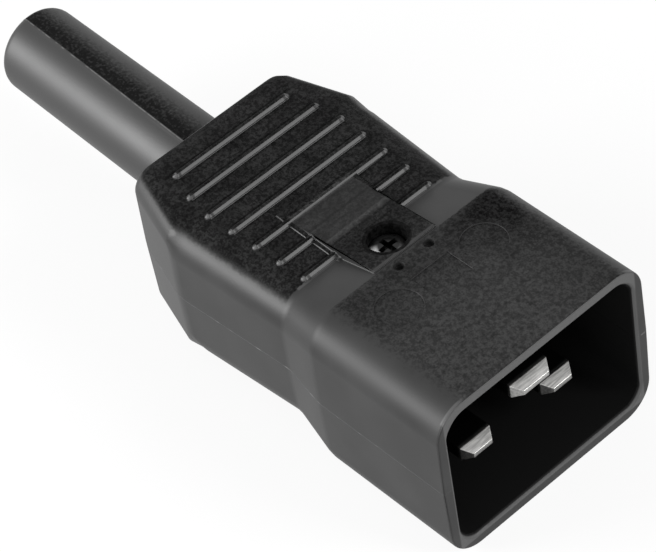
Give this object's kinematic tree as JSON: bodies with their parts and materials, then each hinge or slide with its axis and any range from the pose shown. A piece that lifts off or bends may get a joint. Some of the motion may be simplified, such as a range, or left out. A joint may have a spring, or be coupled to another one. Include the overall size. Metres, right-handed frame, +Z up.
{
  "type": "c20 power plug",
  "caption": "Rewireable inline power plug: two ribbed grip shells, a shroud round flat mains blades, screw terminals and a cord clamp inside, and a long bend sleeve.",
  "frame": {"origin": "middle of the shroud's rim, where the plug meets its socket", "axes": "+X the way the plug is pushed in, +Z up through the screw's head with the earth blade above the other two, the shells part at Z = 0"},
  "size_m": [0.0943, 0.0328, 0.0244],
  "materials": {
    "shell": "black, fine spark-eroded grain",
    "blade": "bright nickel plate",
    "carrier": "matt black",
    "terminal_brass": "machined",
    "steel": "zinc plated",
    "insert_brass": "machined",
    "clamp": "matt black",
    "sleeve": "matt black"
  },
  "bodies": {
    "root": {"upper_shell": "shell", "lower_shell": "shell", "live_pin": "blade", "neutral_pin": "blade", "earth_pin": "blade", "pin_carrier": "carrier", "live_terminal": "terminal_brass", "live_wire_plate": "steel", "live_terminal_screw": "steel", "neutral_terminal": "terminal_brass", "neutral_wire_plate": "steel", "neutral_terminal_screw": "steel", "earth_terminal": "terminal_brass", "earth_wire_plate": "steel", "earth_terminal_screw": "steel", "housing_screw": "steel", "housing_nut": "steel", "cord_clamp": "clamp", "cord_clamp_nut_right": "insert_brass", "cord_clamp_screw_right": "steel", "cord_clamp_nut_left": "insert_brass", "cord_clamp_screw_left": "steel", "bend_sleeve": "sleeve"}
  },
  "joints": []
}
